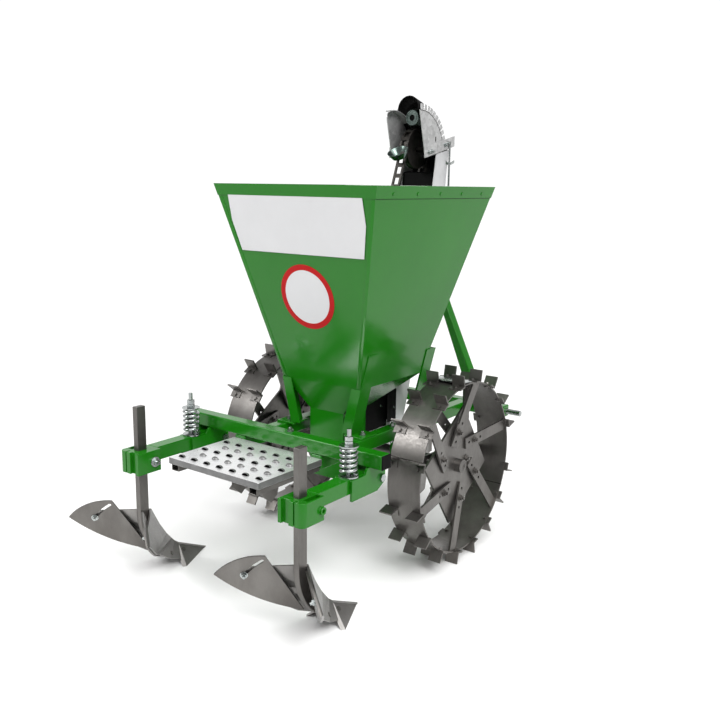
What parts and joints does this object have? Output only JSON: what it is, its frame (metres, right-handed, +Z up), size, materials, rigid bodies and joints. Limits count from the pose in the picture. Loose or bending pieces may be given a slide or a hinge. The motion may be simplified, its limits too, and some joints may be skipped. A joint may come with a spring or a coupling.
{
  "type": "potato planter",
  "caption": "One-row tractor-mounted potato planter: tapered hopper with cup-chain elevator, lugged steel wheels, step plate and two sprung ridgers",
  "frame": {"origin": "centre of the bounding box on the ground plane", "axes": "+Y forward toward the tractor, +X the machine's right, +Z up; ground at z = 0"},
  "size_m": [1.067, 1.3854, 1.5815],
  "materials": {
    "green_paint": "gloss green paint",
    "bare_steel": "bare rolled steel",
    "zinc": "zinc plated",
    "galvanised": "galvanised sheet",
    "black_plastic": "moulded",
    "dark_chain": "oiled"
  },
  "bodies": {
    "frame": {"rear_bar": "green_paint", "bar_caps": "black_plastic", "front_bar": "green_paint", "hitch_pins": "zinc", "mast_lugs": "green_paint", "boot": "green_paint", "hopper_legs": "green_paint", "leg_feet": "green_paint", "head_right": "galvanised", "head_left": "galvanised", "head_front": "galvanised", "head_cover": "black_plastic", "head_sprocket": "dark_chain", "cup_chain": "dark_chain", "chain_cups": "zinc", "axle_bearings": "green_paint", "ridger_arms": "green_paint", "arm_plates": "green_paint", "pivot_bolts": "zinc", "spring_coils": "zinc", "spring_rods": "zinc", "shank_clamps": "green_paint", "shanks": "bare_steel", "mouldboards": "bare_steel", "shares": "bare_steel", "wings": "bare_steel", "step_plate": "galvanised", "step_tubes": "bare_steel", "furrow_opener": "bare_steel", "hopper_rear": "green_paint", "hopper_right": "green_paint", "hopper_left": "green_paint", "hopper_front": "green_paint", "duct_sides": "galvanised", "duct_front": "galvanised", "rails": "green_paint", "mast_legs": "green_paint", "chain_case": "black_plastic", "head_hood": "black_plastic", "head_bars": "galvanised", "tension_rods": "zinc"},
    "wheelset": {"axle": "bare_steel", "rim_right": "bare_steel", "rim_left": "bare_steel", "spokes_right": "bare_steel", "spokes_left": "bare_steel", "hub_right": "bare_steel", "hub_left": "bare_steel"}
  },
  "joints": [
    {"name": "wheel_turn", "type": "hinge", "parent": "frame", "child": "wheelset", "pos_m": [0, 0.21, 0.32886], "axis": [1, 0, 0], "continuous": true}
  ]
}
